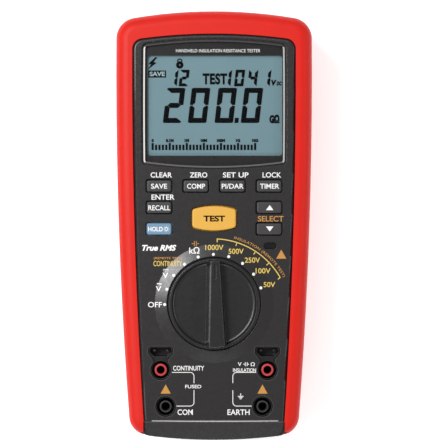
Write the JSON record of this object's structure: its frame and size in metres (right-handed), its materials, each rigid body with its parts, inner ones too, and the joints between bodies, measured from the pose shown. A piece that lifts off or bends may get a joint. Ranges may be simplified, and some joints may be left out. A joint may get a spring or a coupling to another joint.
{
  "type": "insulation resistance tester",
  "caption": "Handheld insulation resistance tester in a rubber holster, with display, keys, test button, range dial, shrouded jacks, battery cover and fold-out stand.",
  "frame": {"origin": "middle of the footprint, on the plane the tester lies on", "axes": "+X to the right of the face, +Y towards the display end, +Z out of the face"},
  "size_m": [0.103, 0.225, 0.059],
  "materials": {
    "holster_rubber": "soft moulded elastomer, satin",
    "case_plastic": "finely textured moulded plastic",
    "steel": "zinc plated",
    "brass": "turned",
    "nickel": "nickel plated",
    "lens_clear": "clear polished acrylic",
    "mask_film": "printed film",
    "lcd_panel": "grey-green liquid crystal display",
    "white_plastic": "moulded",
    "light_guide": "clear acrylic light guide",
    "black_rubber": "conductive strip",
    "grey_rubber": "silicone rubber",
    "window_plastic": "smoked window",
    "key_rubber": "moulded key, satin",
    "yellow_rubber": "moulded key, satin",
    "blue_rubber": "moulded key, satin",
    "dial_plastic": "moulded knob, satin",
    "jack_black": "moulded",
    "jack_red": "moulded",
    "circuit_board": "green glass-fibre board",
    "chip_black": "moulded package",
    "ferrite": "sintered ferrite",
    "copper": "enamelled wire",
    "capacitor_can": "sleeved can",
    "fuse_body": "ceramic body with metal caps",
    "cell_wrap": "plain wrapped cell"
  },
  "bodies": {
    "case": {"back_case": "case_plastic", "backlight_guide": "light_guide", "battery_cells": "cell_wrap", "battery_plates": "nickel", "battery_springs": "nickel", "battery_tabs": "nickel", "battery_tray": "jack_black", "board_header": "jack_black", "board_screws": "steel", "board_spacers": "brass", "buzzer": "chip_black", "case_screws": "steel", "contact_common": "brass", "contact_continuity": "brass", "contact_earth": "brass", "contact_insulation": "brass", "cover_inserts": "brass", "detent_spring": "steel", "display_lens": "lens_clear", "display_mask": "mask_film", "front_case": "case_plastic", "fuse": "fuse_body", "fuse_clips": "nickel", "holster": "holster_rubber", "hv_capacitors": "capacitor_can", "key_mat": "grey_rubber", "lcd_glass": "lcd_panel", "lcd_holder": "white_plastic", "main_board": "circuit_board", "power_board": "circuit_board", "processor_chip": "chip_black", "relays": "white_plastic", "remote_contacts": "nickel", "sensor_window": "window_plastic", "sleeve_common": "jack_black", "sleeve_continuity": "jack_red", "sleeve_earth": "jack_black", "sleeve_insulation": "jack_red", "terminal_block": "jack_black", "transformer_core": "ferrite", "transformer_winding": "copper", "zebra_connectors": "black_rubber"},
    "dial": {"rotary_dial": "dial_plastic", "dial_washer": "white_plastic", "dial_clip": "steel", "dial_rotor": "white_plastic", "wiper_contacts": "brass"},
    "stand": {"tilt_stand": "case_plastic"},
    "cover": {"battery_cover": "case_plastic", "cover_screws": "steel"},
    "save_key": {"save_key": "key_rubber"},
    "compare_key": {"compare_key": "key_rubber"},
    "ratio_key": {"ratio_key": "key_rubber"},
    "timer_key": {"timer_key": "key_rubber"},
    "recall_key": {"recall_key": "key_rubber"},
    "hold_key": {"hold_key": "blue_rubber"},
    "up_key": {"up_key": "key_rubber"},
    "down_key": {"down_key": "key_rubber"},
    "test_button": {"test_button": "yellow_rubber"}
  },
  "joints": [
    {"name": "dial_turn", "type": "hinge", "parent": "case", "child": "dial", "pos_m": [0, -0.041, 0.05], "axis": [0, 0, 1], "range_deg": [-72, 90]},
    {"name": "stand_fold", "type": "hinge", "parent": "case", "child": "stand", "pos_m": [0, 0.0845, 0.003], "axis": [1, 0, 0], "range_deg": [0, 70]},
    {"name": "cover_lift", "type": "slide", "parent": "case", "child": "cover", "axis": [0, 0, -1], "range_m": [0, 0.014]},
    {"name": "save_press", "type": "slide", "parent": "case", "child": "save_key", "axis": [0, 0, -1], "range_m": [0, 0.0009], "stiffness_N_per_m": 800, "springref_m": -0.0005},
    {"name": "compare_press", "type": "slide", "parent": "case", "child": "compare_key", "axis": [0, 0, -1], "range_m": [0, 0.0009], "stiffness_N_per_m": 800, "springref_m": -0.0005},
    {"name": "ratio_press", "type": "slide", "parent": "case", "child": "ratio_key", "axis": [0, 0, -1], "range_m": [0, 0.0009], "stiffness_N_per_m": 800, "springref_m": -0.0005},
    {"name": "timer_press", "type": "slide", "parent": "case", "child": "timer_key", "axis": [0, 0, -1], "range_m": [0, 0.0009], "stiffness_N_per_m": 800, "springref_m": -0.0005},
    {"name": "recall_press", "type": "slide", "parent": "case", "child": "recall_key", "axis": [0, 0, -1], "range_m": [0, 0.0009], "stiffness_N_per_m": 800, "springref_m": -0.0005},
    {"name": "hold_press", "type": "slide", "parent": "case", "child": "hold_key", "axis": [0, 0, -1], "range_m": [0, 0.0009], "stiffness_N_per_m": 800, "springref_m": -0.0005},
    {"name": "up_press", "type": "slide", "parent": "case", "child": "up_key", "axis": [0, 0, -1], "range_m": [0, 0.0009], "stiffness_N_per_m": 800, "springref_m": -0.0005},
    {"name": "down_press", "type": "slide", "parent": "case", "child": "down_key", "axis": [0, 0, -1], "range_m": [0, 0.0009], "stiffness_N_per_m": 800, "springref_m": -0.0005},
    {"name": "test_press", "type": "slide", "parent": "case", "child": "test_button", "axis": [0, 0, -1], "range_m": [0, 0.0009], "stiffness_N_per_m": 800, "springref_m": -0.0005}
  ]
}
